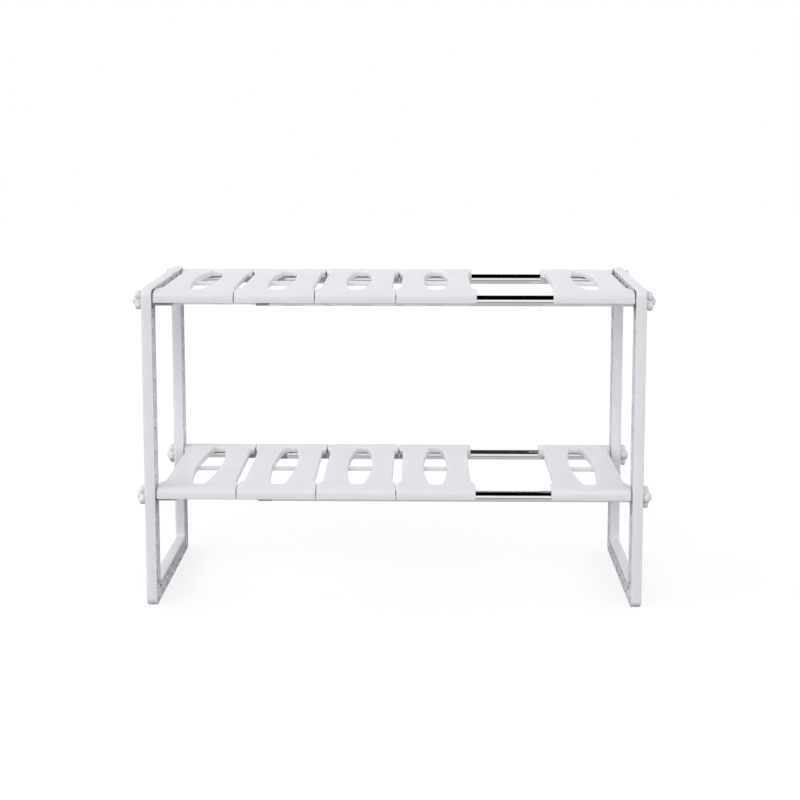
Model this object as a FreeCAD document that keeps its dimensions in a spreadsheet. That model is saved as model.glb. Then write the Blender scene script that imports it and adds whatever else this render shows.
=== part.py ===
import FreeCAD, Part
import math
import os
from types import SimpleNamespace

import Sketcher

# Two-tier rack for the space under a sink. Two moulded side frames are joined by four telescopic
# tube pairs, each held by a thumb screw at both ends, and shelf panels lie across the tubes.
# X runs from the left frame to the right one, -Y is the front and Z is up.
# The origin is on the floor, midway between the frames.

SIZES = {
    # Side frames
    "frame_height": 391.0,
    "frame_depth": 265.0,
    "frame_thick": 13.0,
    "upright_width": 30.0,
    "bar_height": 23.0,
    "frame_corner_radius": 9.0,
    "window_corner_radius": 6.0,
    "frame_edge_radius": 2.5,
    "frame_lip_radius": 0.8,
    "frame_wall": 2.4,
    "frame_web": 3.0,
    "hole_pitch": 30.0,
    "hole_inset": 15.0,
    "boss_diameter": 14.0,
    "boss_rib": 2.0,
    "truss_rib": 2.2,
    "truss_pitch": 34.0,
    # Telescopic tubes
    "tube_diameter": 14.0,
    "tube_wall": 0.6,
    "tube_length": 435.0,
    "rod_gap": 0.9,
    "rod_wall": 0.6,
    "rod_length": 430.0,
    "slide_clearance": 0.05,
    # Mouldings on the tube ends
    "seat_clearance": 0.05,
    "end_wall": 3.0,
    "spigot_length": 20.0,
    "cap_length": 24.0,
    "collar_length": 16.0,
    "collar_spigot_length": 40.0,
    "guide_length": 6.0,
    # Thumb screws
    "shank_diameter": 7.0,
    "shank_reach": 17.0,
    "shank_tip": 1.0,
    "shank_clearance": 0.05,
    "hole_clearance": 0.2,
    "knob_diameter": 27.6,
    "knob_thick": 7.2,
    "knob_core_diameter": 16.0,
    "knob_hub_diameter": 13.0,
    "knob_hub_rise": 4.2,
    "lobe_diameter": 10.8,
    "lobe_edge_radius": 3.2,
    "knob_gap": 0.3,
    # Shelf panels
    "panel_width": 96.0,
    "panel_setback": 1.5,
    "panel_gap": 1.0,
    "panel_end_gap": 1.5,
    "pipe_gap": 92.0,
    "panel_rise": 12.0,
    "panel_skin": 2.2,
    "flange_below": 2.0,
    "roll_radius": 8.0,
    "ear_depth": 26.0,
    "waist_depth": 5.2,
    "waist_run": 20.0,
    "opening_margin": 23.5,
    "opening_width": 31.0,
    "opening_end_width": 14.0,
    "opening_corner_radius": 6.0,
    "rim_wall": 1.8,
    "rim_drop": 8.0,
    "ear_wall": 2.2,
    "ear_wall_drop": 16.0,
    "ear_gap": 1.0,
    "saddle_plate": 2.2,
    "saddle_clearance": 0.3,
    "cross_rib": 3.0,
    "cross_rib_drop": 2.5,
    "panel_edge_radius": 1.5,
    # Every cut runs past the faces it goes through by this much
    "overrun": 1.0,
}

LOBES = 4
LEFT_PANELS = 4
# How many screw holes lie between the two shelves
TIER_STEPS = 8
# How far each thumb screw is turned at rest, in degrees
KNOB_TURNS = {
    "left_upper_front": 40.0,
    "left_upper_rear": 15.0,
    "left_lower_front": 30.0,
    "left_lower_rear": 20.0,
    "right_upper_front": 45.0,
    "right_upper_rear": 60.0,
    "right_lower_front": 0.0,
    "right_lower_rear": 10.0,
}


class Size:
    """A number together with the sheet expression that gives it, to bind a feature to."""

    def __init__(self, value, text):
        self.value = value
        self.text = text

    def __add__(self, other):
        other = as_size(other)
        return Size(self.value + other.value, f"({self.text} + {other.text})")

    def __sub__(self, other):
        other = as_size(other)
        return Size(self.value - other.value, f"({self.text} - {other.text})")

    def __mul__(self, other):
        other = as_size(other)
        return Size(self.value * other.value, f"({self.text} * {other.text})")

    def __truediv__(self, other):
        other = as_size(other)
        return Size(self.value / other.value, f"({self.text} / {other.text})")

    def __neg__(self):
        return Size(-self.value, f"(0 - {self.text})")


def as_size(number):
    return number if isinstance(number, Size) else Size(number, str(number))


def root(square):
    return Size(math.sqrt(square.value), f"sqrt({square.text})")


def whole(ratio):
    return Size(math.floor(ratio.value), f"floor({ratio.text})")


doc = FreeCAD.newDocument("UnderSinkRack")
sheet = doc.addObject("Spreadsheet::Sheet", "Sizes")
for row, (alias, number) in enumerate(SIZES.items(), start=1):
    sheet.set(f"A{row}", alias.replace("_", " "))
    sheet.set(f"B{row}", str(number))
    sheet.setAlias(f"B{row}", alias)
doc.recompute()
size = SimpleNamespace(**{alias: Size(number, f"Sizes.{alias}") for alias, number in SIZES.items()})
ZERO = Size(0.0, "0")

# Sizes that several pieces share
half_depth = size.frame_depth / 2
half_panel = half_depth - size.panel_setback
left_run = size.panel_width * LEFT_PANELS + size.panel_gap * (LEFT_PANELS - 1)
half_inner = (left_run + size.pipe_gap + size.panel_width) / 2 + size.panel_end_gap
window_half = half_depth - size.upright_width
hole_count = whole((size.frame_height - size.hole_inset * 2) / size.hole_pitch) + 1
hole_span = (hole_count - 1) * size.hole_pitch
upper_height = size.frame_height - size.hole_inset
first_hole = upper_height - hole_span
lower_height = upper_height - size.hole_pitch * TIER_STEPS
rod_y = half_depth - size.upright_width / 2
tube_radius = size.tube_diameter / 2
tube_bore = tube_radius - size.tube_wall
rod_radius = tube_bore - size.rod_gap
rod_bore = rod_radius - size.rod_wall
shank_radius = size.shank_diameter / 2
screw_bore = shank_radius + size.shank_clearance
tube_spigot = tube_bore - size.seat_clearance
rod_spigot = rod_bore - size.seat_clearance
flange_drop = size.panel_rise + size.flange_below


def new_body(label):
    body = doc.addObject("PartDesign::Body", label)
    body.Label = label
    return body


def origin_feature(body, role):
    return next(feature for feature in body.Origin.OriginFeatures if feature.Role == role)


def new_sketch(body, plane, offset=None):
    sketch = body.newObject("Sketcher::SketchObject", f"{body.Name}_sketch")
    sketch.AttachmentSupport = [(origin_feature(body, plane), "")]
    sketch.MapMode = "FlatFace"
    if offset is not None:
        sketch.setExpression("AttachmentOffset.Base.z", offset.text)
    return sketch


def constrain(sketch, wanted):
    """Adds (constraint, rule) pairs in one go. A rule is the Size that sets the constraint, or None."""
    numbers = sketch.addConstraint([constraint for constraint, _ in wanted])
    for number, (_, rule) in zip(numbers, wanted):
        if rule is not None and rule.text != ZERO.text:
            sketch.setExpression(f"Constraints[{number}]", rule.text)


def pinned(geometry, vertex, x, y):
    """The constraints that hold a point at its distances from the sketch's origin."""
    return [
        (Sketcher.Constraint("DistanceX", -1, 1, geometry, vertex, x.value), x),
        (Sketcher.Constraint("DistanceY", -1, 1, geometry, vertex, y.value), y),
    ]


def draw_circle(sketch, x, y, radius):
    circle = Part.Circle(FreeCAD.Vector(x.value, y.value, 0), FreeCAD.Vector(0, 0, 1), radius.value)
    index = sketch.addGeometry(circle, False)
    width = (Sketcher.Constraint("Radius", index, radius.value), radius)
    constrain(sketch, [width] + pinned(index, 3, x, y))


def arc_between(start, end, radius, turn):
    """The arc of under half a circle from start to end, bending left where turn is positive."""
    chord = end - start
    rise = math.sqrt(max(radius**2 - chord.Length**2 / 4, 0.0))
    left = FreeCAD.Vector(-chord.y, chord.x, 0).normalize()
    centre = (start + end) * 0.5 + left * (turn * rise)
    angles = [math.atan2(point.y - centre.y, point.x - centre.x) for point in (start, end)]
    if turn < 0:
        angles.reverse()
    return Part.ArcOfCircle(Part.Circle(centre, FreeCAD.Vector(0, 0, 1), radius), *angles)


def draw_outline(sketch, path):
    """Draws a closed outline through points (x, y, bend).

    bend says how the outline goes on to the next point: None is a straight run, and
    (radius, turn) is an arc that bends left where turn is positive and right otherwise."""
    drawn = []
    wanted = []
    for (x, y, bend), (next_x, next_y, _) in zip(path, path[1:] + path[:1]):
        start = FreeCAD.Vector(x.value, y.value, 0)
        end = FreeCAD.Vector(next_x.value, next_y.value, 0)
        if bend is None:
            index = sketch.addGeometry(Part.LineSegment(start, end), False)
            drawn.append((index, 1, 2))
            continue
        radius, turn = bend
        index = sketch.addGeometry(arc_between(start, end, radius.value, turn), False)
        drawn.append((index, 1, 2) if turn > 0 else (index, 2, 1))
        wanted.append((Sketcher.Constraint("Radius", index, radius.value), radius))
    for (geometry, _, last), (after, first, _) in zip(drawn, drawn[1:] + drawn[:1]):
        wanted.append((Sketcher.Constraint("Coincident", geometry, last, after, first), None))
    for (geometry, first, _), (x, y, _) in zip(drawn, path):
        wanted += pinned(geometry, first, x, y)
    constrain(sketch, wanted)


def mirrored(path):
    """The same outline on the other side of the sketch's upright axis."""
    return [(-x, y, bend and (bend[0], -bend[1])) for x, y, bend in path]


def rectangle(x_low, x_high, y_low, y_high):
    corners = ((x_low, y_low), (x_high, y_low), (x_high, y_high), (x_low, y_high))
    return [(x, y, None) for x, y in corners]


def rounded_rectangle(x_low, x_high, y_low, y_high, radius):
    corner = (radius, 1)
    return [
        (x_low + radius, y_low, None),
        (x_high - radius, y_low, corner),
        (x_high, y_low + radius, None),
        (x_high, y_high - radius, corner),
        (x_high - radius, y_high, None),
        (x_low + radius, y_high, corner),
        (x_low, y_high - radius, None),
        (x_low, y_low + radius, corner),
    ]


def pad(body, sketch, length, down=False, both_ways=False):
    feature = body.newObject("PartDesign::Pad", "Pad")
    feature.Profile = sketch
    feature.Reversed = down
    if both_ways:
        feature.SideType = "Symmetric"
    feature.setExpression("Length", length.text)
    return feature


def pocket(body, sketch, depth=None):
    """Cuts the sketch into the body against the sketch's normal, right through where depth is None."""
    feature = body.newObject("PartDesign::Pocket", "Pocket")
    feature.Profile = sketch
    if depth is None:
        feature.Type = "ThroughAll"
    else:
        feature.setExpression("Length", depth.text)
    return feature


def revolve(body, sketch, axis):
    feature = body.newObject("PartDesign::Revolution", "Revolution")
    feature.Profile = sketch
    feature.ReferenceAxis = (sketch, [axis])
    return feature


def fillet(body, radius, wanted):
    """Rounds the edges of the body so far whose bounding box satisfies wanted."""
    doc.recompute()
    base = body.Tip
    names = [
        f"Edge{number}"
        for number, edge in enumerate(base.Shape.Edges, start=1)
        if wanted(edge.BoundBox)
    ]
    feature = body.newObject("PartDesign::Fillet", "Fillet")
    feature.Base = (base, names)
    feature.setExpression("Radius", radius.text)
    return feature


def same(length, other):
    return abs(length - other) < Part.Precision.confusion() * 10


def place(body, x, y, z, turned=False, roll=0.0):
    """Puts a body at a point, turned half round the upright axis for the right-hand side."""
    upright = FreeCAD.Rotation(FreeCAD.Vector(0, 0, 1), 180.0 if turned else 0.0)
    along = FreeCAD.Rotation(FreeCAD.Vector(1, 0, 0), roll)
    body.Placement = FreeCAD.Placement(FreeCAD.Vector(), upright * along)
    for axis, distance in zip("xyz", (x, y, z)):
        body.setExpression(f"Placement.Base.{axis}", distance.text)
    return body


def side_frame(label):
    """A frame of two uprights and two bars, open inside, with a ribbed channel on its inner face.

    The outer face lies at X zero, and the channel opens towards +X."""
    body = new_body(label)
    ring = new_sketch(body, "YZ_Plane")
    draw_outline(ring, rounded_rectangle(
        -half_depth, half_depth, ZERO, size.frame_height, size.frame_corner_radius))
    draw_outline(ring, rounded_rectangle(
        -window_half, window_half, size.bar_height, size.frame_height - size.bar_height,
        size.window_corner_radius))
    pad(body, ring, size.frame_thick)
    fillet(body, size.frame_edge_radius, lambda box: same(box.XMin, 0) and same(box.XMax, 0))
    fillet(body, size.frame_lip_radius, lambda box: same(box.XMin, size.frame_thick.value))

    channel = new_sketch(body, "YZ_Plane", size.frame_thick)
    draw_outline(channel, rounded_rectangle(
        size.frame_wall - half_depth, half_depth - size.frame_wall,
        size.frame_wall, size.frame_height - size.frame_wall, size.frame_corner_radius - size.frame_wall))
    draw_outline(channel, rounded_rectangle(
        -window_half - size.frame_wall, window_half + size.frame_wall,
        size.bar_height - size.frame_wall, size.frame_height - size.bar_height + size.frame_wall,
        size.window_corner_radius + size.frame_wall))
    channel_depth = size.frame_thick - size.frame_web
    pocket(body, channel, channel_depth)

    for start_high in (False, True):
        trusses = new_sketch(body, "YZ_Plane", size.frame_web)
        for low in (size.frame_wall, size.frame_height - size.bar_height + size.frame_wall):
            draw_outline(trusses, truss_band(low, start_high))
        pad(body, trusses, channel_depth)

    bosses = new_sketch(body, "YZ_Plane", size.frame_web)
    ribs = new_sketch(body, "YZ_Plane", size.frame_web)
    for side in (-1, 1):
        draw_circle(bosses, rod_y * side, first_hole, size.boss_diameter / 2)
        in_outer_wall = (half_depth - size.frame_wall / 2) * side
        in_inner_wall = (window_half + size.frame_wall / 2) * side
        wall_ends = sorted((in_outer_wall, in_inner_wall), key=lambda end: end.value)
        draw_outline(ribs, rectangle(
            *wall_ends, first_hole - size.boss_rib / 2, first_hole + size.boss_rib / 2))
    boss_pad = pad(body, bosses, channel_depth)
    rib_pad = pad(body, ribs, channel_depth - size.frame_wall)
    column(body, [boss_pad, rib_pad], bosses)

    holes = new_sketch(body, "YZ_Plane", size.frame_thick)
    for side in (-1, 1):
        draw_circle(holes, rod_y * side, first_hole, shank_radius + size.hole_clearance)
    column(body, [pocket(body, holes)], holes)
    return body


def truss_band(low, start_high):
    """One zigzag rib in a bar's channel, as a band of even height. Two of them cross to make a lattice."""
    bays = 2 * round(window_half.value / size.truss_pitch.value)
    rise = size.bar_height - size.frame_wall * 2
    middle = [
        (window_half * (2 * bay / bays - 1), low + rise * ((bay + start_high) % 2))
        for bay in range(bays + 1)
    ]
    under = [(y, z - size.truss_rib / 2, None) for y, z in middle]
    over = [(y, z + size.truss_rib / 2, None) for y, z in reversed(middle)]
    return under + over


def column(body, features, sketch):
    """Repeats features up the uprights, once for each screw hole."""
    pattern = body.newObject("PartDesign::LinearPattern", "Column")
    pattern.Originals = features
    pattern.Direction = (sketch, ["V_Axis"])
    pattern.setExpression("Length", hole_span.text)
    pattern.setExpression("Occurrences", hole_count.text)
    body.Tip = pattern
    return pattern


def round_tube(label, radius, bore, length):
    body = new_body(label)
    section = new_sketch(body, "YZ_Plane")
    draw_circle(section, ZERO, ZERO, radius)
    draw_circle(section, ZERO, ZERO, bore)
    pad(body, section, length)
    return body


def turned_piece(label, path):
    """A piece turned about X, from its half section as points (x, radius, bend)."""
    body = new_body(label)
    half_section = new_sketch(body, "XZ_Plane")
    draw_outline(half_section, path)
    revolve(body, half_section, "H_Axis")
    return body


def straight(points):
    return [(x, radius, None) for x, radius in points]


def rod_cap(label):
    """Closes the inner rod's outer end and brings it to the tube's diameter under the first panel."""
    inner_end = size.end_wall + size.spigot_length
    return turned_piece(label, straight([
        (ZERO, screw_bore),
        (inner_end, screw_bore),
        (inner_end, rod_spigot),
        (size.end_wall, rod_spigot),
        (size.end_wall, rod_radius + size.seat_clearance),
        (size.cap_length, rod_radius + size.seat_clearance),
        (size.cap_length, tube_radius),
        (ZERO, tube_radius),
    ]))


def tube_plug(label):
    """Closes the outer tube's end against the right frame and takes the thumb screw."""
    inner_end = size.end_wall + size.spigot_length
    return turned_piece(label, straight([
        (ZERO, screw_bore),
        (inner_end, screw_bore),
        (inner_end, tube_spigot),
        (size.end_wall, tube_spigot),
        (size.end_wall, tube_radius),
        (ZERO, tube_radius),
    ]))


def tube_collar(label):
    """The sliding bush in the outer tube's mouth, flush with the tube outside."""
    bore = rod_radius + size.slide_clearance
    return turned_piece(label, straight([
        (-size.collar_length, bore),
        (size.collar_spigot_length, bore),
        (size.collar_spigot_length, tube_spigot),
        (ZERO, tube_spigot),
        (ZERO, tube_radius),
        (-size.collar_length, tube_radius),
    ]))


def rod_guide(label):
    """The foot on the inner rod's hidden end, which runs in the tube and stops at the collar."""
    guide_radius = tube_bore - size.slide_clearance
    return turned_piece(label, straight([
        (-size.spigot_length, ZERO),
        (size.guide_length, ZERO),
        (size.guide_length, guide_radius),
        (ZERO, guide_radius),
        (ZERO, rod_spigot),
        (-size.spigot_length, rod_spigot),
    ]))


def thumb_screw(label):
    """A lobed knob moulded on its screw shank. The frame's outer face lies at X zero."""
    tip = size.frame_thick + size.shank_reach
    face = -size.knob_gap
    crown = face - size.knob_thick
    hub_radius = size.knob_hub_diameter / 2
    hub_rise = size.knob_hub_rise
    dome_radius = (hub_radius * hub_radius + hub_rise * hub_rise) / (hub_rise * 2)
    body = turned_piece(label, [
        (tip, ZERO, None),
        (tip, shank_radius - size.shank_tip, None),
        (tip - size.shank_tip, shank_radius, None),
        (face, shank_radius, None),
        (face, size.knob_core_diameter / 2, None),
        (crown, size.knob_core_diameter / 2, None),
        (crown, hub_radius, (dome_radius, 1)),
        (crown - hub_rise, ZERO, None),
    ])
    lobe_radius = size.lobe_diameter / 2
    lobe_axis = size.knob_diameter / 2 - lobe_radius
    lobe_sketch = new_sketch(body, "XZ_Plane")
    axis_line = Part.LineSegment(
        FreeCAD.Vector(face.value, lobe_axis.value, 0), FreeCAD.Vector(crown.value, lobe_axis.value, 0))
    axis = lobe_sketch.addGeometry(axis_line, True)
    constrain(lobe_sketch, pinned(axis, 1, face, lobe_axis) + pinned(axis, 2, crown, lobe_axis))
    rim = lobe_axis + lobe_radius
    edge_radius = size.lobe_edge_radius
    draw_outline(lobe_sketch, [
        (face, lobe_axis, None),
        (face, rim - edge_radius, (edge_radius, 1)),
        (face - edge_radius, rim, None),
        (crown + edge_radius, rim, (edge_radius, 1)),
        (crown, rim - edge_radius, None),
        (crown, lobe_axis, None),
    ])
    lobe = revolve(body, lobe_sketch, "Axis0")
    ring = body.newObject("PartDesign::PolarPattern", "Lobes")
    ring.Originals = [lobe]
    ring.Axis = (origin_feature(body, "X_Axis"), [""])
    ring.Angle = 360.0
    ring.Occurrences = LOBES
    body.Tip = ring
    return body


def shelf_panel(label):
    """A waisted panel with a long opening, rolled down at front and rear over the two tubes.

    The top lies at Z zero, with the panel's middle on the Z axis."""
    half_width = size.panel_width / 2
    ear_outer = rod_y - tube_radius - size.ear_gap
    ear_middle = ear_outer - size.ear_wall / 2
    ear_inner = ear_outer - size.ear_wall
    body = new_body(label)

    section = new_sketch(body, "YZ_Plane")
    draw_outline(section, panel_section())
    pad(body, section, size.panel_width, both_ways=True)

    strips = new_sketch(body, "XY_Plane")
    strip = rectangle(
        half_width - size.waist_depth - size.rim_wall, half_width, -ear_middle, ear_middle)
    draw_outline(strips, strip)
    draw_outline(strips, mirrored(strip))
    pad(body, strips, size.rim_drop, down=True)

    opening = opening_shape()
    island = new_sketch(body, "XY_Plane")
    draw_outline(island, opening.rim)
    pad(body, island, size.rim_drop, down=True)

    ear_walls = new_sketch(body, "XY_Plane")
    for low, high in ((ear_inner, ear_outer), (-ear_outer, -ear_inner)):
        wall = rectangle(size.opening_width / 2 + size.rim_wall, half_width, low, high)
        draw_outline(ear_walls, wall)
        draw_outline(ear_walls, mirrored(wall))
    pad(body, ear_walls, size.ear_wall_drop, down=True)

    saddles = new_sketch(body, "YZ_Plane", half_width - size.saddle_plate)
    saddle = saddle_shape(ear_middle)
    draw_outline(saddles, saddle)
    draw_outline(saddles, mirrored(saddle))
    saddle_pad = pad(body, saddles, size.saddle_plate)
    both_ends = body.newObject("PartDesign::Mirrored", "BothEnds")
    both_ends.Originals = [saddle_pad]
    both_ends.MirrorPlane = (origin_feature(body, "YZ_Plane"), [""])
    body.Tip = both_ends

    waists = new_sketch(body, "XY_Plane", size.overrun)
    waist = waist_shape(half_width, half_panel - size.ear_depth)
    draw_outline(waists, waist)
    draw_outline(waists, mirrored(waist))
    pocket(body, waists)

    hole = new_sketch(body, "XY_Plane", size.overrun)
    draw_outline(hole, opening.edge)
    pocket(body, hole)

    rib = new_sketch(body, "XY_Plane", -size.cross_rib_drop)
    rib_reach = (size.opening_width + size.rim_wall) / 2
    draw_outline(rib, rectangle(-rib_reach, rib_reach, -size.cross_rib / 2, size.cross_rib / 2))
    pad(body, rib, size.rim_drop - size.cross_rib_drop, down=True)

    waist_x = (half_width - size.waist_depth).value
    opening_x = size.opening_width.value / 2

    def soft_edge(box):
        on_top = same(box.ZMin, 0) and same(box.ZMax, 0)
        round_opening = max(-box.XMin, box.XMax) < (opening_x + waist_x) / 2
        on_side = box.XMin > (opening_x + waist_x) / 2 or box.XMax < -(opening_x + waist_x) / 2
        roll_end = on_side and same(box.XMin, box.XMax) and same(
            max(-box.YMin, box.YMax), half_panel.value)
        return on_top and (round_opening or on_side) or roll_end and box.ZMax > -flange_drop.value / 2

    fillet(body, size.panel_edge_radius, soft_edge)
    return body


def panel_section():
    """The panel's skin from front flange to rear flange, with its rolled edges."""
    inner = half_panel - size.panel_skin
    flat = half_panel - size.roll_radius
    outer_roll = (size.roll_radius, -1)
    inner_roll = (size.roll_radius - size.panel_skin, 1)
    return [
        (-half_panel, -flange_drop, None),
        (-half_panel, -size.roll_radius, outer_roll),
        (-flat, ZERO, None),
        (flat, ZERO, outer_roll),
        (half_panel, -size.roll_radius, None),
        (half_panel, -flange_drop, None),
        (inner, -flange_drop, None),
        (inner, -size.roll_radius, inner_roll),
        (flat, -size.panel_skin, None),
        (-flat, -size.panel_skin, inner_roll),
        (-inner, -size.roll_radius, None),
        (-inner, -flange_drop, None),
    ]


def saddle_shape(ear_middle):
    """The plate that closes a panel's end and sits on the tube with a half-round notch."""
    notch = tube_radius + size.saddle_clearance
    top = -size.panel_skin / 2
    flange_middle = half_panel - size.panel_skin / 2
    return [
        (ear_middle, top, None),
        (half_panel - size.roll_radius, top, (size.roll_radius - size.panel_skin / 2, -1)),
        (flange_middle, -size.roll_radius, None),
        (flange_middle, -flange_drop, None),
        (rod_y + notch, -flange_drop, None),
        (rod_y + notch, -size.panel_rise, (notch, 1)),
        (rod_y, notch - size.panel_rise, (notch, 1)),
        (rod_y - notch, -size.panel_rise, None),
        (rod_y - notch, -flange_drop, None),
        (ear_middle, -flange_drop, None),
    ]


def waist_shape(half_width, ear_y):
    """What is cut from a panel's side between its ears: an S-bend in, a straight run, an S-bend out."""
    middle_x = half_width - size.waist_depth / 2
    waist_x = half_width - size.waist_depth
    outside = half_width + size.overrun
    bend_radius = (
        (size.waist_depth * size.waist_depth + size.waist_run * size.waist_run) / (size.waist_depth * 4))
    left, right = (bend_radius, 1), (bend_radius, -1)
    return [
        (outside, -ear_y, None),
        (half_width, -ear_y, left),
        (middle_x, size.waist_run / 2 - ear_y, right),
        (waist_x, size.waist_run - ear_y, None),
        (waist_x, ear_y - size.waist_run, right),
        (middle_x, ear_y - size.waist_run / 2, left),
        (half_width, ear_y, None),
        (outside, ear_y, None),
    ]


def opening_shape():
    """The long opening with bowed sides and short rounded ends, and the outside of the rim round it."""
    half_length = half_panel - size.opening_margin
    bow = (size.opening_width - size.opening_end_width) / 2
    side_radius = (bow * bow + half_length * half_length) / (bow * 2)
    side_centre = size.opening_width / 2 - side_radius
    corner = size.opening_corner_radius
    inside_radius = side_radius - corner
    corner_y = half_length - corner
    corner_x = side_centre + root(inside_radius * inside_radius - corner_y * corner_y)

    def outline(outside):
        """The opening's outline, moved out by a distance along its normals."""
        reach = (side_radius + outside) / inside_radius
        meet_x = side_centre + (corner_x - side_centre) * reach
        meet_y = corner_y * reach
        end_y = half_length + outside
        side_bend, corner_bend = (side_radius + outside, 1), (corner + outside, 1)
        return [
            (meet_x, -meet_y, side_bend),
            (meet_x, meet_y, corner_bend),
            (corner_x, end_y, None),
            (-corner_x, end_y, corner_bend),
            (-meet_x, meet_y, side_bend),
            (-meet_x, -meet_y, corner_bend),
            (-corner_x, -end_y, None),
            (corner_x, -end_y, corner_bend),
        ]

    return SimpleNamespace(edge=outline(ZERO), rim=outline(size.rim_wall))


pieces = []
outer_face = half_inner + size.frame_thick
pieces.append(place(side_frame("left_side_frame"), -outer_face, ZERO, ZERO))
pieces.append(place(side_frame("right_side_frame"), outer_face, ZERO, ZERO, turned=True))

rod_start = size.end_wall - half_inner
rod_end = rod_start + size.rod_length
tube_end = half_inner - size.end_wall
tube_start = tube_end - size.tube_length
for tier, height in (("upper", upper_height), ("lower", lower_height)):
    for row_name, y in (("front", -rod_y), ("rear", rod_y)):
        row = f"{tier}_{row_name}"
        rod = round_tube(f"inner_rod_{row}", rod_radius, rod_bore, size.rod_length)
        tube = round_tube(f"outer_tube_{row}", tube_radius, tube_bore, size.tube_length)
        pieces += [
            place(rod, rod_start, y, height),
            place(tube, tube_start, y, height),
            place(rod_cap(f"rod_cap_{row}"), -half_inner, y, height),
            place(rod_guide(f"rod_guide_{row}"), rod_end, y, height),
            place(tube_collar(f"tube_collar_{row}"), tube_start, y, height),
            place(tube_plug(f"tube_plug_{row}"), half_inner, y, height, turned=True),
        ]
        for side, x, turned in (("left", -outer_face, False), ("right", outer_face, True)):
            knob = thumb_screw(f"thumb_screw_{side}_{row}")
            turn = KNOB_TURNS[f"{side}_{row}"]
            pieces.append(place(knob, x, y, height, turned=turned, roll=turn))

    panel_top = height + size.panel_rise
    for number in range(1, LEFT_PANELS + 2):
        from_end = size.panel_end_gap + size.panel_width / 2
        from_left = from_end + (size.panel_width + size.panel_gap) * (number - 1)
        x = from_left - half_inner if number <= LEFT_PANELS else half_inner - from_end
        pieces.append(place(shelf_panel(f"shelf_panel_{tier}_{number}"), x, ZERO, panel_top))

doc.recompute()
faults = [item.Label for item in doc.Objects if {"Invalid", "Error"} & set(item.State)]
faults += [piece.Label for piece in pieces if piece.Shape.isNull() or not piece.Shape.isValid()]
faults += [piece.Label for piece in pieces if len(piece.Shape.Solids) != 1]
if faults:
    raise RuntimeError(f"these did not build: {sorted(set(faults))}")

os.makedirs("parts", exist_ok=True)
for piece in pieces:
    piece.Shape.exportStep(f"parts/{piece.Label}.step")
print(f"{len(pieces)} pieces, {sum(piece.Shape.Volume for piece in pieces) / 1000:.1f} cubic centimetres")
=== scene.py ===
# %% [markdown]
# # A two-tier rack for the space under a sink
#
# The real rack is white moulded plastic and polished steel: two side frames, four pairs of tubes that
# slide one in the other, eight thumb screws and ten shelf panels. Every shape comes from the CAD
# frame, which is loaded first and never moved. The lesson is what a camera sees of it: rounded edges,
# the soft sheen of moulded plastic, the mirror of drawn tube, and the white studio around it.

# %% Load the frame
import math

import bpy
import numpy as np
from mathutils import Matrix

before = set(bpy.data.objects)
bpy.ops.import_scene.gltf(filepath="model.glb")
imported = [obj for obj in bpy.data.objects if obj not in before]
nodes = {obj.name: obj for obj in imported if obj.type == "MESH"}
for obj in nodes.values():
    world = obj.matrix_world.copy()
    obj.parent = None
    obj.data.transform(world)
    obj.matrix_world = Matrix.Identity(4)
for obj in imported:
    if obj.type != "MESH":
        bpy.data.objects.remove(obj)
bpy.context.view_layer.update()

MM = 0.001


def named(*starts):
    """The CAD pieces whose names begin with one of these words, in name order."""
    return [nodes[name] for name in sorted(nodes) if name.startswith(starts)]


# %% [markdown]
# ## Clean shading
#
# A mould leaves round edges and smooth faces, and the CAD solids have both. They arrive as loose
# triangles, which would shade like a cut gem. A Weld joins the triangles, smooth shading runs the light
# over the curved faces, and an Edge Split keeps the real corners crisp. Live modifiers leave the CAD
# mesh itself untouched, which a remodelled copy would not.

# %% Modifiers that weld and smooth
WELD_WITHIN = 0.002 * MM
CORNER = math.radians(32)
for piece in nodes.values():
    weld = piece.modifiers.new("weld", "WELD")
    weld.merge_threshold = WELD_WITHIN
    split = piece.modifiers.new("keep corners crisp", "EDGE_SPLIT")
    split.split_angle = CORNER
    piece.data.shade_smooth()
print(f"{len(nodes)} pieces welded and smoothed")

# %% [markdown]
# ## Building materials from nodes
#
# Each finish below is a small graph. A helper adds a node and sets its inputs in one line, so that a
# cell reads as the list of what the finish is made of. All patterns use Object coordinates, which on
# these pieces are metres from the rack's own origin, so a grain has its real size.

# %% Helpers for node graphs


def add(tree, kind, inputs=None, **settings):
    """Adds a node, sets its properties, and sets or links its inputs by name or number."""
    node = tree.nodes.new(kind)
    for name, value in settings.items():
        setattr(node, name, value)
    for name, value in (inputs or {}).items():
        if isinstance(value, bpy.types.NodeSocket):
            tree.links.new(value, node.inputs[name])
        else:
            node.inputs[name].default_value = value
    return node


def new_material(name):
    """An empty node material with its tree and output."""
    material = bpy.data.materials.new(name)
    material.use_nodes = True
    material.node_tree.nodes.clear()
    output = material.node_tree.nodes.new("ShaderNodeOutputMaterial")
    return material, material.node_tree, output


def dress(pieces, material):
    """Gives pieces one material in place of the one they came with."""
    for piece in pieces:
        piece.data.materials.clear()
        piece.data.materials.append(material)


# %% [markdown]
# ## White moulded plastic
#
# By its look it is polypropylene from a lightly textured mould: off-white with a breath of lavender, a
# broad soft sheen and a grain too fine to see as bumps. It is a cloudy plastic, so light soaks a few
# millimetres in and comes out beside where it went in, which keeps the ribbed channels and the thin rims
# pale. That is the shader's subsurface part. Three things vary over the surface: the tint drifts over a
# hand's width, as it does where the melt flowed, the roughness is patchy, and there is a grain of half a
# millimetre on a slower ripple from shrinkage.

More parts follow.
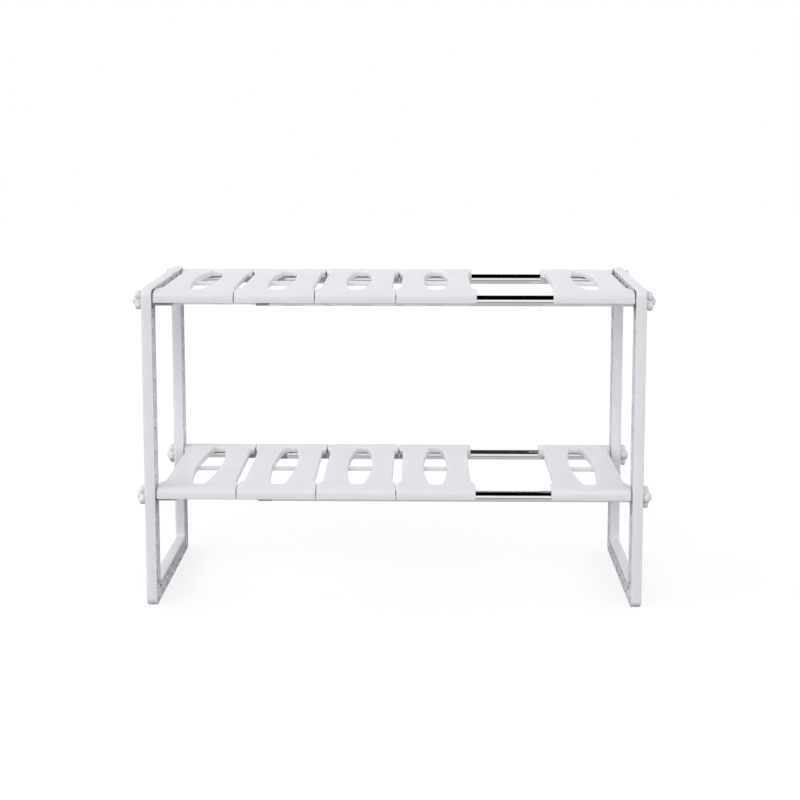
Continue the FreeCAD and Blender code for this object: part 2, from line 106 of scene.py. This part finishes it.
# %% The plastic's graph
FLOW_PER_METRE = 11.0
GRAIN_PER_METRE = 1900.0
GRAIN_STRENGTH = 0.35
RIPPLE_PER_METRE = 45.0
RIPPLE_HEIGHT = 0.12 * MM
RIPPLE_STRENGTH = 0.25
PATCHINESS = 0.05
PLASTIC_INDEX = 1.49
SHEEN = 0.4
SOAK_SHARE = 0.35
SOAK_DEPTH = 5 * MM


def moulded_plastic(name, pale, shade, roughness, grain_height):
    """A cloudy plastic between two tints, with a mean roughness and a grain of the given height."""
    material, tree, output = new_material(name)
    place = add(tree, "ShaderNodeTexCoord").outputs["Object"]
    flow = add(tree, "ShaderNodeTexNoise", {"Vector": place, "Scale": FLOW_PER_METRE, "Detail": 2.0})
    grain = add(tree, "ShaderNodeTexNoise", {"Vector": place, "Scale": GRAIN_PER_METRE, "Detail": 2.0})
    ripple = add(tree, "ShaderNodeTexNoise", {"Vector": place, "Scale": RIPPLE_PER_METRE, "Detail": 1.0})
    drift = add(tree, "ShaderNodeMapRange", {
        "Value": flow.outputs["Fac"], "From Min": 0.35, "From Max": 0.65})
    tint = add(tree, "ShaderNodeMix", {
        "Factor": drift.outputs["Result"], "A": pale, "B": shade}, data_type="RGBA")
    gloss = add(tree, "ShaderNodeMapRange", {
        "Value": flow.outputs["Fac"], "To Min": roughness - PATCHINESS, "To Max": roughness + PATCHINESS})
    fine = add(tree, "ShaderNodeBump", {
        "Height": grain.outputs["Fac"], "Distance": grain_height, "Strength": GRAIN_STRENGTH})
    relief = add(tree, "ShaderNodeBump", {
        "Height": ripple.outputs["Fac"], "Distance": RIPPLE_HEIGHT, "Strength": RIPPLE_STRENGTH,
        "Normal": fine.outputs["Normal"]})
    shader = add(tree, "ShaderNodeBsdfPrincipled", {
        "Base Color": tint.outputs["Result"], "Roughness": gloss.outputs["Result"],
        "IOR": PLASTIC_INDEX, "Specular IOR Level": SHEEN, "Normal": relief.outputs["Normal"],
        "Subsurface Weight": SOAK_SHARE, "Subsurface Scale": SOAK_DEPTH, "Subsurface Radius": (1, 1, 1)})
    tree.links.new(shader.outputs["BSDF"], output.inputs["Surface"])
    return material


# %% [markdown]
# Three mouldings share that graph. The frames and the panels are the same lavender white, and the panels
# are a little smoother. The thumb screws, and the small bushes and plugs inside the tubes, are a plainer
# white with a higher gloss.

# %% Dress the plastic pieces
LAVENDER_WHITE = (0.83, 0.825, 0.895, 1)
FRAME_SHADE = (0.815, 0.812, 0.855, 1)
PANEL_SHADE = (0.82, 0.817, 0.86, 1)
PLAIN_WHITE = (0.81, 0.81, 0.825, 1)
PLAIN_SHADE = (0.78, 0.78, 0.79, 1)
frame_plastic = moulded_plastic(
    "moulded frame plastic", LAVENDER_WHITE, FRAME_SHADE, roughness=0.42, grain_height=0.03 * MM)
panel_plastic = moulded_plastic(
    "moulded panel plastic", LAVENDER_WHITE, PANEL_SHADE, roughness=0.38, grain_height=0.02 * MM)
screw_plastic = moulded_plastic(
    "moulded screw plastic", PLAIN_WHITE, PLAIN_SHADE, roughness=0.25, grain_height=0.015 * MM)
dress(named("left_side", "right_side"), frame_plastic)
dress(named("shelf_panel"), panel_plastic)
dress(named("thumb_screw", "rod_", "tube_"), screw_plastic)
print("plastic:", [m.name for m in (frame_plastic, panel_plastic, screw_plastic)])

# %% [markdown]
# ## Polished tube
#
# The tubes are drawn steel, polished along their length and bright-plated, so they mirror the studio
# with a faint lengthwise blur. A noise stretched nearly two hundredfold along X gives the polishing
# lines, both in the roughness and as a bump of under a micrometre. A mirror is only as good as what it
# reflects, so the studio further down matters as much as this graph.

# %% The steel's graph
LINES_PER_METRE = (12.0, 2200.0, 2200.0)
LINE_HEIGHT = 0.0005 * MM
LINE_STRENGTH = 0.25
CLOUDS_PER_METRE = 25.0
BRIGHT_STEEL = (0.87, 0.87, 0.88, 1)
DULL_STEEL = (0.82, 0.82, 0.83, 1)
polished_steel, tree, output = new_material("polished tube steel")
place = add(tree, "ShaderNodeTexCoord").outputs["Object"]
along = add(tree, "ShaderNodeMapping", {"Vector": place, "Scale": LINES_PER_METRE})
lines = add(tree, "ShaderNodeTexNoise", {"Vector": along.outputs["Vector"], "Scale": 1.0, "Detail": 3.0})
cloud = add(tree, "ShaderNodeTexNoise", {"Vector": place, "Scale": CLOUDS_PER_METRE, "Detail": 2.0})
gloss = add(tree, "ShaderNodeMapRange", {"Value": lines.outputs["Fac"], "To Min": 0.02, "To Max": 0.07})
metal = add(tree, "ShaderNodeMix", {
    "Factor": cloud.outputs["Fac"], "A": BRIGHT_STEEL, "B": DULL_STEEL}, data_type="RGBA")
relief = add(tree, "ShaderNodeBump", {
    "Height": lines.outputs["Fac"], "Distance": LINE_HEIGHT, "Strength": LINE_STRENGTH})
shader = add(tree, "ShaderNodeBsdfPrincipled", {
    "Base Color": metal.outputs["Result"], "Metallic": 1.0, "Roughness": gloss.outputs["Result"],
    "Normal": relief.outputs["Normal"]})
tree.links.new(shader.outputs["BSDF"], output.inputs["Surface"])
tubes = named("inner_rod", "outer_tube")
dress(tubes, polished_steel)
print("steel on", len(tubes), "tubes")

# %% [markdown]
# ## The camera
#
# The photograph was taken from about two metres away, a little to the right of the middle and from
# above the rack, with a long lens. These values come from matching the corners of the frames, so the
# render lies on the photograph. The picture is 800 pixels square, and the optical axis passes above
# its middle, which is the camera's upright shift.

# %% Place the camera
PICTURE = 800
SENSOR = 36.0
FOCAL_PIXELS = 1645.3
AXIS_ABOVE_MIDDLE = 80
CAMERA_PLACE = (0.0399, -2.0747, 0.6199)
CAMERA_DIP = 7.79
CAMERA_TURN = 0.94
camera_data = bpy.data.cameras.new("camera")
camera_data.sensor_width = SENSOR
camera_data.lens = FOCAL_PIXELS * SENSOR / PICTURE
camera_data.shift_y = -AXIS_ABOVE_MIDDLE / PICTURE
camera = bpy.data.objects.new("camera", camera_data)
bpy.context.scene.collection.objects.link(camera)
camera.location = CAMERA_PLACE
camera.rotation_euler = (math.radians(90 - CAMERA_DIP), 0, math.radians(CAMERA_TURN))
bpy.context.scene.camera = camera
print(f"lens {camera_data.lens:.1f} mm, shift {camera_data.shift_y:.3f}")

# %% [markdown]
# ## A white studio
#
# In the photograph the lower shelf is as bright as the upper one, so little of the light can come from
# straight above. It comes from a broad soft band around the rack, ten to forty degrees over the
# horizon, as from the walls of a white tent. The band is stronger in front than behind, and a little
# stronger on the left. The world holds it, since lamps of that size would have to ring the rack.
#
# The world's graph knows each ray by the direction it comes from. The heights below are the Z part of
# that direction: 0 at the horizon, 1 at the zenith.

# %% Bands and leans of light, by direction


def band(tree, height, low, high, soft=0.03):
    """One where a height lies between two limits, zero elsewhere, with soft borders."""
    over = add(tree, "ShaderNodeMapRange", {
        "Value": height, "From Min": low - soft, "From Max": low + soft}, interpolation_type="SMOOTHSTEP")
    under = add(tree, "ShaderNodeMapRange", {
        "Value": height, "From Min": high + soft, "From Max": high - soft}, interpolation_type="SMOOTHSTEP")
    return combine(tree, "MULTIPLY", over.outputs["Result"], under.outputs["Result"])


def lean(tree, axis, share):
    """A factor over one on the low side of an axis and as much under one on its high side."""
    factor = add(tree, "ShaderNodeMapRange", {
        "Value": axis, "From Min": -1.0, "From Max": 1.0, "To Min": 1 + share, "To Max": 1 - share})
    return factor.outputs["Result"]


def combine(tree, operation, first, second):
    """The result of a sum, product or the like of two values."""
    return add(tree, "ShaderNodeMath", {0: first, 1: second}, operation=operation).outputs["Value"]


# %% The tent
TENT_LOW = 0.15
TENT_HIGH = 0.63
TENT_SOFT = 0.10
TENT_DIM = 0.06
TENT_BRIGHT = 2.30
LEFT_LEAN = 0.22
FRONT_LEAN = 0.30
world = bpy.data.worlds.new("white studio")
bpy.context.scene.world = world
world.use_nodes = True
tree = world.node_tree
tree.nodes.clear()
direction = add(tree, "ShaderNodeTexCoord").outputs["Generated"]
toward = add(tree, "ShaderNodeSeparateXYZ", {0: direction}).outputs
walls = add(tree, "ShaderNodeMapRange", {
    "Value": band(tree, toward["Z"], TENT_LOW, TENT_HIGH, TENT_SOFT),
    "To Min": TENT_DIM, "To Max": TENT_BRIGHT})
leaning = combine(tree, "MULTIPLY", lean(tree, toward["X"], LEFT_LEAN), lean(tree, toward["Y"], FRONT_LEAN))
tent = combine(tree, "MULTIPLY", walls.outputs["Result"], leaning)
print("tent from", TENT_LOW, "to", TENT_HIGH, "of the height")

# %% [markdown]
# Polished metal needs something dark to mirror or it vanishes into the white, so a photographer hangs
# a black flag over the set. Mirror rays alone meet it here, from twenty degrees over the horizon in
# front to thirty degrees past the zenith. Below the horizon the same rays meet the dark edge of the
# table, and below that its grey top. The camera itself sees plain white.

# %% What the mirrors see
BEYOND = 1.2
FLAG_LOW = 0.33
FLAG_REAR = 0.50
FLAG_SOFT = 0.05
TABLE_EDGE_HIGH = -0.38
TABLE_EDGE_LOW = -0.62
TABLE_EDGE_DARK = 0.75
TABLE_TOP_DARK = 0.45
not_behind = add(tree, "ShaderNodeMapRange", {
    "Value": toward["Y"], "From Min": FLAG_REAR + FLAG_SOFT, "From Max": FLAG_REAR - FLAG_SOFT},
    interpolation_type="SMOOTHSTEP")
overhead = band(tree, toward["Z"], FLAG_LOW, BEYOND)
flag = combine(tree, "MULTIPLY", overhead, not_behind.outputs["Result"])
edge_band = band(tree, toward["Z"], TABLE_EDGE_LOW, TABLE_EDGE_HIGH)
top_band = band(tree, toward["Z"], -BEYOND, TABLE_EDGE_LOW)
table_edge = combine(tree, "MULTIPLY", edge_band, TABLE_EDGE_DARK)
table_top = combine(tree, "MULTIPLY", top_band, TABLE_TOP_DARK)
table = combine(tree, "ADD", table_edge, table_top)
darkness = combine(tree, "MAXIMUM", flag, table)
mirrored = combine(tree, "SUBTRACT", 1.0, darkness)
print("flag from", FLAG_LOW, "of the height")

# %% The world's light for each kind of ray
rays = add(tree, "ShaderNodeLightPath").outputs
for_mirrors = add(tree, "ShaderNodeMix", {"Factor": rays["Is Glossy Ray"], "A": tent, "B": mirrored})
plain = combine(tree, "MAXIMUM", rays["Is Camera Ray"], rays["Is Transmission Ray"])
strength = add(tree, "ShaderNodeMix", {"Factor": plain, "A": for_mirrors.outputs["Result"], "B": 1.0})
background = add(tree, "ShaderNodeBackground", {
    "Color": (1, 1, 1, 1), "Strength": strength.outputs["Result"]})
add(tree, "ShaderNodeOutputWorld", {"Surface": background.outputs["Background"]})
print("world of", len(tree.nodes), "nodes")

# %% [markdown]
# To the camera the floor is a sheet of milk glass on a light table: most of its white is its own glow,
# and the rest is the studio's, so it keeps a faint shadow of the rack. To the light it is dark. In the
# photograph the undersides of the panels are in shade, and so are the tubes that mirror them, and a
# floor that threw its white back up would fill that shade. Mirror rays pass through it to the table
# that the world holds for them.

# %% The floor
FLOOR_HALF = 6.0
FLOOR_TO_LIGHT = (0.12, 0.12, 0.12, 1)
FLOOR_TO_CAMERA = (0.3, 0.3, 0.3, 1)
FLOOR_GLOW = 0.76
floor_mesh = bpy.data.meshes.new("floor")
corners = np.array([[-1, -1, 0], [1, -1, 0], [1, 1, 0], [-1, 1, 0]]) * FLOOR_HALF
floor_mesh.from_pydata(corners.tolist(), [], [(0, 1, 2, 3)])
floor = bpy.data.objects.new("floor", floor_mesh)
bpy.context.scene.collection.objects.link(floor)
floor.visible_glossy = False
milk_glass, tree, output = new_material("milk glass")
to_camera = add(tree, "ShaderNodeLightPath").outputs["Is Camera Ray"]
paleness = add(tree, "ShaderNodeMix", {
    "Factor": to_camera, "A": FLOOR_TO_LIGHT, "B": FLOOR_TO_CAMERA}, data_type="RGBA")
sheet = add(tree, "ShaderNodeBsdfDiffuse", {"Color": paleness.outputs["Result"]})
glow = add(tree, "ShaderNodeEmission", {
    "Color": (1, 1, 1, 1), "Strength": combine(tree, "MULTIPLY", to_camera, FLOOR_GLOW)})
both = add(tree, "ShaderNodeAddShader", {0: sheet.outputs[0], 1: glow.outputs[0]})
tree.links.new(both.outputs[0], output.inputs["Surface"])
floor_mesh.materials.append(milk_glass)
print("floor", [round(x, 1) for x in floor.dimensions])

# %% [markdown]
# ## The key light
#
# One large soft lamp above, in front and to the left adds a little to the tops of the upper shelf, and
# leaves the right-hand thumb screws darker than the left ones. It is weak, because the tent does most
# of the work.

# %% The lamp
LAMP_SIZE = (2.4, 1.6)
LAMP_WATTS = 2.0
LAMP_PLACE = (-1.2, -0.9, 2.0)
LAMP_TILT = 22
LAMP_TURN = -35
lamp_data = bpy.data.lights.new("soft box", "AREA")
lamp_data.shape = "RECTANGLE"
lamp_data.size, lamp_data.size_y = LAMP_SIZE
lamp_data.energy = LAMP_WATTS
lamp = bpy.data.objects.new("soft box", lamp_data)
bpy.context.scene.collection.objects.link(lamp)
lamp.location = LAMP_PLACE
lamp.rotation_euler = (math.radians(LAMP_TILT), 0, math.radians(LAMP_TURN))
lamp.visible_glossy = False
print(f"lamp of {lamp_data.energy:.0f} W")

# %% A plain view transform
bpy.context.scene.view_settings.view_transform = "Standard"
